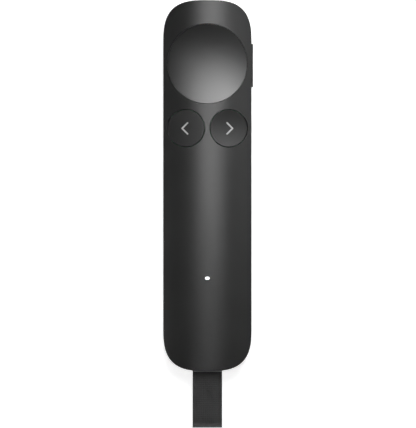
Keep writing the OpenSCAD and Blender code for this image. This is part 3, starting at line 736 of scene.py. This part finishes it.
pipe = block("light_pipe_lens",
             (-LIGHT_L / 2 + PIPE_GAP, LIGHT_Y - LIGHT_W / 2 + PIPE_GAP, TOP - PIPE_L),
             (LIGHT_L / 2 - PIPE_GAP, LIGHT_Y + LIGHT_W / 2 - PIPE_GAP, TOP), PIPE_CORNER)
round_edges(pipe, at_height(TOP, lambda p: True), PIPE_ROUND, 3)
to_metres(pipe, "case", "light_white", "light_pipe")

# %% nose window
PANE_GAP, PANE_BACK, PANE_SINK, PANE_ROUND = 0.05, 1.6, 0.1, 0.15

pane = drum("nose_window_pane", (0, LASER_Z), WINDOW_R - PANE_GAP, HALF_L - PANE_BACK, HALF_L - PANE_SINK,
            64, "Y")
round_edges(pane, lambda a, b: min(a.y, b.y) > HALF_L - 2 * PANE_SINK, PANE_ROUND, 3)
to_metres(pane, "case", "dark_window", "laser_window")

# %% [markdown]
# ## The receiver's end cap
# The cap closes the bay flush with the end of the body. The strap leaves through its slot, and a low
# lip above the slot catches the light as a thin bright line.

# %% end cap
STRAP_W = 10
STRAP_T = 0.55
PIN_R = 0.5
SLIP = 0.05
SWING = math.radians(8)
SWING_ROOM = 0.1                 # what is left between strap and slot at the end of its swing
PIN_Y = middle_mm("strap_pin", Y)
STRAP_OUT_R = PIN_R + SLIP + STRAP_T
CAP_IN = 0.7                     # how far the cap's face lies in from its lip
CAP_CORNER, CAP_SOFT = 0.8, 0.08
SLOT_HALF = STRAP_OUT_R / math.cos(SWING) + (PIN_Y - cap_low.y - CAP_IN) * math.tan(SWING) + SWING_ROOM
SLOT_SIDE, SLOT_CORNER = 0.15, 0.3
LIP_LOW = STRAP_OUT_R / math.cos(SWING) + (PIN_Y - cap_low.y) * math.tan(SWING) + SWING_ROOM
LIP_H = 0.6
LIP_OUT = 0.15                   # how far the lip reaches past the frame's own one
LIP_LEFT, LIP_BACK = 0.4, 0.2    # how much shorter it is at its left end and at its back
LIP_CORNER = 0.15

cap = block("receiver_cap_moulding", (-CAP_X, cap_low.y + CAP_IN, RX_Z - CAP_H),
            (CAP_X, cap_high.y, RX_Z + CAP_H), CAP_CORNER, Y)
lip = block("lip", (-STRAP_W / 2 + LIP_LEFT, cap_low.y - LIP_OUT, RX_Z + LIP_LOW),
            (STRAP_W / 2, cap_high.y - LIP_BACK, RX_Z + LIP_LOW + LIP_H), LIP_CORNER, Y, 3)
carve(cap, lip, "UNION")
carve(cap, block("slot", (-STRAP_W / 2 - SLOT_SIDE, cap_low.y - PAST, RX_Z - SLOT_HALF),
                 (STRAP_W / 2 + SLOT_SIDE, cap_high.y + PAST, RX_Z + SLOT_HALF), SLOT_CORNER, Y, 3))
soften(cap, CAP_SOFT)
to_metres(cap, "receiver", "cap_plastic", "receiver_cap")

# %% [markdown]
# ## The strap
# A 10 mm woven ribbon loops round its pin, runs out in two layers that lie close together, and folds
# back at its end. The ribbon's cross-section, a thin plate with rounded selvedges, is spun round the
# pin, extruded outwards, spun round the fold and extruded back, so the loop is one band of even
# thickness.

# %% strap
FOLD_Y = box_mm("strap")[0].y + STRAP_OUT_R
LAYER = PIN_R + SLIP + STRAP_T / 2   # middle of a layer from the axis, at the pin and at the fold
PINCH_GAP = 0.06                     # half of what is left between the layers where they lie close
PINCHED = STRAP_T / 2 + PINCH_GAP
SELVEDGE = 0.18                      # rounding of the ribbon's edges
RUN_STEPS, TURN_STEPS = 22, 12
PINCH_L = 9.5                        # length over which the layers come together


def layer_height(y):
    """How far a layer's middle lies from the axis at a place along the strap."""
    from_end = min(PIN_Y - y, y - FOLD_Y)
    share = max(0.0, min(1.0, from_end / PINCH_L))
    return LAYER + (PINCHED - LAYER) * share * share * (3 - 2 * share)


strap = start("strap_ribbon", bpy.ops.mesh.primitive_plane_add, size=1, location=(0, PIN_Y, RX_Z + LAYER),
              rotation=(math.pi / 2, 0, 0))
pick(strap, "EDGE", lambda a, b: True)
bpy.ops.transform.resize(value=(STRAP_W, 1, STRAP_T), center_override=(0, PIN_Y, RX_Z + LAYER))
bpy.ops.mesh.bevel(offset=SELVEDGE, segments=4, profile=0.5, affect="VERTICES")
done()
pick(strap, "FACE", lambda centre, normal: True)


def run_layer(start_y, end_y, side):
    """Extrudes the open end along one layer; side is 1 for the upper one."""
    step = (end_y - start_y) / RUN_STEPS
    for i in range(RUN_STEPS):
        y = start_y + i * step
        rise = side * (layer_height(y + step) - layer_height(y))
        bpy.ops.mesh.extrude_region_move(TRANSFORM_OT_translate={"value": (0, step, rise)})


bpy.ops.mesh.spin(steps=TURN_STEPS, angle=math.pi, center=(0, PIN_Y, RX_Z), axis=(1, 0, 0))
run_layer(PIN_Y, FOLD_Y, -1)
bpy.ops.mesh.spin(steps=TURN_STEPS, angle=math.pi, center=(0, FOLD_Y, RX_Z), axis=(1, 0, 0))
run_layer(FOLD_Y, PIN_Y, 1)
done()
pick(strap, "FACE", lambda centre, normal: abs(normal.y) > FACING and abs(centre.y - PIN_Y) < NEAR)
bpy.ops.mesh.delete(type="ONLY_FACE")
bpy.ops.mesh.select_all(action="SELECT")
bpy.ops.mesh.remove_doubles(threshold=0.005)
done()
to_metres(strap, "strap", "woven_strap", "strap", smooth=60, weigh=False)

# %% [markdown]
# ## The receiver inside
# The rest of the receiver shows only when it is pulled out. Its CAD pieces have the right shape but
# knife edges, so a copy of each is merged into one surface and gets a fine bevel.


# %% softened copies
def softened(node, body, slot, width):
    """A copy of a CAD piece with its sharp edges rounded."""
    source = frame["nodes"][node]
    copy = source.copy()
    copy.data = source.data.copy()
    copy.parent = None
    copy.name = node + "_finished"
    for key in list(copy.keys()):
        del copy[key]
    bpy.context.collection.objects.link(copy)
    copy.scale = (1 / MM, 1 / MM, 1 / MM)
    settle(copy)
    pick(copy, "FACE", lambda centre, normal: True)
    bpy.ops.mesh.remove_doubles(threshold=0.002)
    bpy.ops.mesh.dissolve_limited(angle_limit=math.radians(0.5))
    done()
    soften(copy, width)
    return to_metres(copy, body, slot, node)


softened("receiver_shell", "receiver", "graphite_shell", 0.25)
softened("receiver_plug", "receiver", "steel", 0.08)
softened("receiver_bay", "case", "frame_plastic", 0.1)
softened("charge_socket", "case", "steel", 0.08)

# %% [markdown]
# ## Finishes
# Moulded plastic is never quite even: the mould is spark-eroded, which leaves a grain of a tenth of a
# millimetre, and gloss drifts a little over a few millimetres. Both come from noise whose scale is
# worked out from a size in millimetres. The grain is too fine to show from a step away, so it is drawn
# about twice as coarse as the real one.


# %% moulded plastic
DRIFT = 9                        # millimetres over which gloss and shade drift


def per_mm(size):
    """Texture scale at which one feature is size millimetres."""
    return 1 / (size * MM)


def moulded(name, shade, worn_shade, gloss, grain=0.22, depth=0.012, specular=0.5):
    """Spark-eroded moulded plastic: a fine even grain, and gloss that drifts a little."""
    material, tree, output = new_tree(name)
    place = add_node(tree, "TexCoord").outputs["Object"]
    grains = add_node(tree, "TexNoise", {"Vector": place, "Scale": per_mm(grain), "Detail": 2.0})
    relief = add_node(tree, "Bump", {"Height": grains.outputs[0], "Strength": 0.5,
                                     "Distance": depth * MM})
    drift = add_node(tree, "TexNoise", {"Vector": place, "Scale": per_mm(DRIFT), "Detail": 0.0})
    rough = add_node(tree, "MapRange", {"Value": drift.outputs[0], "From Min": 0.3, "From Max": 0.7,
                                        "To Min": gloss - 0.01, "To Max": gloss + 0.01})
    tint = add_node(tree, "Mix", {0: drift.outputs[0], 6: linear(shade), 7: linear(worn_shade)},
                    data_type="RGBA")
    surface = add_node(tree, "BsdfPrincipled", {
        "Base Color": tint.outputs[2], "Roughness": rough.outputs[0], "IOR": 1.5,
        "Specular IOR Level": specular, "Normal": relief.outputs[0]})
    tree.links.new(surface.outputs[0], output.inputs["Surface"])
    return material


finishes = {
    "graphite_shell": moulded("satin ABS, graphite", "#1f1f1f", "#222222", 0.296),
    "graphite_key": moulded("satin ABS, graphite key", "#1f1f1f", "#222222", 0.296),
    "dark_key": moulded("matt ABS, black", "#0c0c0c", "#101010", 0.6, specular=0.2),
    "arrow_inlay": moulded("two-shot ABS, light grey", "#b6b6b6", "#ababab", 0.4),
    "frame_plastic": moulded("glass-filled nylon, grey", "#4a4c4f", "#3f4144", 0.6, 0.4, 0.05),
    "cap_plastic": moulded("satin ABS, light grey", "#9e9e9f", "#959596", 0.35),
    "switch_stem": moulded("acetal, red", "#8f2b2b", "#7e2424", 0.35),
    "chip": moulded("moulded epoxy, black", "#1b1c1e", "#232427", 0.5, 0.15, 0.03),
    "ceramic": moulded("fired ceramic, cream", "#cbb792", "#b9a47e", 0.45, 0.15, 0.02),
    "foam": moulded("foam tape, dark grey", "#55585c", "#46494c", 0.9, 0.5, 0.15),
    "dark_window": moulded("polycarbonate, dark red", "#1d0708", "#240a0b", 0.08, 0.6, 0.002),
}

# %% [markdown]
# ## Metals, board and wire
# Drawn or brushed metal has fine lines along one direction: noise that is stretched by a Mapping node
# gives them, in roughness and relief. The board's green is solder mask over copper tracks, which show
# as faint raised lines.


# %% metals
def drawn_metal(name, shade, rough, line=0.08, stretch=30.0):
    """Metal with fine lines along Y."""
    material, tree, output = new_tree(name)
    place = add_node(tree, "TexCoord").outputs["Object"]
    along = add_node(tree, "Mapping", {"Vector": place, "Scale": (1, 1 / stretch, 1)})
    lines = add_node(tree, "TexNoise", {"Vector": along.outputs[0], "Scale": per_mm(line), "Detail": 3.0})
    dull = add_node(tree, "MapRange", {"Value": lines.outputs[0], "To Min": rough - 0.08,
                                       "To Max": rough + 0.12})
    relief = add_node(tree, "Bump", {"Height": lines.outputs[0], "Strength": 0.3, "Distance": 0.005 * MM})
    tint = add_node(tree, "Mix", {0: lines.outputs[0], 6: linear(shade), 7: (1, 1, 1, 1)},
                    data_type="RGBA", blend_type="MULTIPLY")
    surface = add_node(tree, "BsdfPrincipled", {
        "Base Color": tint.outputs[2], "Metallic": 1.0, "Roughness": dull.outputs[0],
        "Normal": relief.outputs[0]})
    tree.links.new(surface.outputs[0], output.inputs["Surface"])
    return material


finishes["steel"] = drawn_metal("drawn stainless steel", "#b9bcc0", 0.28)
finishes["switch_metal"] = drawn_metal("tin-plated steel", "#c9ccd0", 0.35)
finishes["battery_foil"] = drawn_metal("aluminium laminate foil", "#c7cbd0", 0.3, 0.6, 1.0)
finishes["brass"] = drawn_metal("turned brass", "#c39b4a", 0.25, 0.05)


# %% board and wire
def solder_mask(name):
    """Green solder mask over copper tracks."""
    material, tree, output = new_tree(name)
    place = add_node(tree, "TexCoord").outputs["Object"]
    tracks = add_node(tree, "TexBrick", {
        "Vector": place, "Scale": per_mm(3), "Color1": linear("#1f5136"), "Color2": linear("#1c4a31"),
        "Mortar": linear("#2f6b49"), "Mortar Size": 0.04, "Mortar Smooth": 0.2})
    relief = add_node(tree, "Bump", {"Height": tracks.outputs[1], "Strength": 0.4, "Distance": 0.03 * MM})
    surface = add_node(tree, "BsdfPrincipled", {
        "Base Color": tracks.outputs[0], "Roughness": 0.3, "IOR": 1.5, "Normal": relief.outputs[0]})
    tree.links.new(surface.outputs[0], output.inputs["Surface"])
    return material


def two_wires(name):
    """Silicone insulation, red on the right wire and black on the left one."""
    material, tree, output = new_tree(name)
    place = add_node(tree, "TexCoord").outputs["Object"]
    side = add_node(tree, "SeparateXYZ", {0: place})
    right = add_node(tree, "Math", {0: side.outputs[0], 1: 0.0}, operation="GREATER_THAN")
    tint = add_node(tree, "Mix", {0: right.outputs[0], 6: linear("#1b1b1b"), 7: linear("#b02a2a")},
                    data_type="RGBA")
    ripple = add_node(tree, "TexNoise", {"Vector": place, "Scale": per_mm(0.6)})
    relief = add_node(tree, "Bump", {"Height": ripple.outputs[0], "Strength": 0.2, "Distance": 0.02 * MM})
    surface = add_node(tree, "BsdfPrincipled", {
        "Base Color": tint.outputs[2], "Roughness": 0.4, "Normal": relief.outputs[0]})
    tree.links.new(surface.outputs[0], output.inputs["Surface"])
    return material


finishes["board"] = solder_mask("solder mask, green")
finishes["wire"] = two_wires("silicone insulation")


# %% [markdown]
# ## Light, glass and ribbon
# The status light is a lit white pipe, brightest in its middle. The lens is clear moulded acrylic. The
# ribbon is a plain weave: every thread passes over one and under the next, so a checker of thread-sized
# cells says which of the two directions is on top, and a wave across each thread makes it round, with
# painted shade where the threads dip. Where the ribbon is folded at its end, it is painted paler, a
# painted highlight for the light that the fold catches.


# %% light and glass
def lit_pipe(name):
    """A white light pipe with its lamp on."""
    material, tree, output = new_tree(name)
    place = add_node(tree, "TexCoord").outputs["Object"]
    centred = add_node(tree, "Mapping", {"Vector": place, "Location": (0, -LIGHT_Y * MM, -TOP * MM)})
    away = add_node(tree, "VectorMath", {0: centred.outputs[0]}, operation="LENGTH")
    power = add_node(tree, "MapRange", {"Value": away.outputs["Value"], "From Min": 0.2 * MM,
                                        "From Max": 0.9 * MM, "To Min": 1.0, "To Max": 0.5})
    surface = add_node(tree, "BsdfPrincipled", {
        "Base Color": linear("#f8fafc"), "Roughness": 0.3, "Emission Color": linear("#ffffff"),
        "Emission Strength": power.outputs[0]})
    tree.links.new(surface.outputs[0], output.inputs["Surface"])
    return material


def clear_lens(name):
    """Clear acrylic with the faintest ripple of the mould."""
    material, tree, output = new_tree(name)
    place = add_node(tree, "TexCoord").outputs["Object"]
    ripple = add_node(tree, "TexNoise", {"Vector": place, "Scale": per_mm(1.2)})
    relief = add_node(tree, "Bump", {"Height": ripple.outputs[0], "Strength": 0.05, "Distance": 0.01 * MM})
    surface = add_node(tree, "BsdfPrincipled", {
        "Base Color": linear("#e8f0f2"), "Roughness": 0.03, "IOR": 1.49, "Transmission Weight": 1.0,
        "Normal": relief.outputs[0]})
    tree.links.new(surface.outputs[0], output.inputs["Surface"])
    return material


finishes["light_white"] = lit_pipe("light pipe, lit")
finishes["lens_glass"] = clear_lens("moulded acrylic, clear")


# %% woven ribbon
THREAD = 0.36                    # the real ribbon has about 0.2 mm threads; drawn coarser to show


def plain_weave(name):
    """Black polyester ribbon in plain weave."""
    material, tree, output = new_tree(name)
    place = add_node(tree, "TexCoord").outputs["Object"]
    wave_scale = per_mm(THREAD) / 2 * math.pi / 10   # one wave spans two threads
    warp = add_node(tree, "TexWave", {"Vector": place, "Scale": wave_scale}, bands_direction="X")
    weft = add_node(tree, "TexWave", {"Vector": place, "Scale": wave_scale}, bands_direction="Y")
    flat = add_node(tree, "Mapping", {"Vector": place, "Scale": (1, 1, 0), "Location": (0, 0, 0.5)})
    cells = add_node(tree, "TexChecker", {"Vector": flat.outputs[0], "Scale": per_mm(THREAD),
                                          "Color1": (1, 1, 1, 1), "Color2": (0, 0, 0, 1)})
    height = add_node(tree, "Mix", {0: cells.outputs["Fac"], 2: warp.outputs[1], 3: weft.outputs[1]})
    relief = add_node(tree, "Bump", {"Height": height.outputs[0], "Strength": 0.6, "Distance": 0.05 * MM})
    dye = add_node(tree, "TexNoise", {"Vector": place, "Scale": per_mm(1.5), "Detail": 3.0})
    # Painted shade: the threads are painted darker where the weave dips, lighter where they rise.
    weave_dip_shade = add_node(tree, "Mix", {0: height.outputs[0], 6: linear("#171717"), 7: linear("#262626")},
                           data_type="RGBA")
    tint = add_node(tree, "Mix", {0: dye.outputs[0], 6: weave_dip_shade.outputs[2], 7: linear("#1c1c1c")},
                    data_type="RGBA")
    # Painted highlight: the last millimetre round the fold is painted paler, for the light that the fold
    # catches.
    along = add_node(tree, "SeparateXYZ", {0: place})
    fold_highlight_share = add_node(tree, "MapRange", {"Value": along.outputs["Y"], "From Min": (FOLD_Y + 1.0) * MM,
                                         "From Max": (FOLD_Y - 1.0) * MM, "To Max": 0.9},
                      interpolation_type="SMOOTHSTEP")
    fold_highlit_tint = add_node(tree, "Mix", {0: fold_highlight_share.outputs[0], 6: tint.outputs[2], 7: linear("#585858")},
                     data_type="RGBA")
    surface = add_node(tree, "BsdfPrincipled", {
        "Base Color": fold_highlit_tint.outputs[2], "Roughness": 0.62, "Sheen Weight": 0.15, "Sheen Roughness": 0.4,
        "Normal": relief.outputs[0]})
    tree.links.new(surface.outputs[0], output.inputs["Surface"])
    return material


finishes["woven_strap"] = plain_weave("woven polyester ribbon")

# %% [markdown]
# ## Dressing the pieces
# The record names a finish for every CAD piece, and each new piece was told which one it takes.

# %% assign the finishes
def dress(obj, slot):
    """Gives a piece one finish all over."""
    obj.data.materials.clear()
    obj.data.materials.append(finishes[slot])


for part in frame["record"]["subparts"]:
    dress(frame["nodes"][part["node"]], part["material_slot"])
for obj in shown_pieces():
    if "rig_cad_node" not in obj:
        dress(obj, obj["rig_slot"])
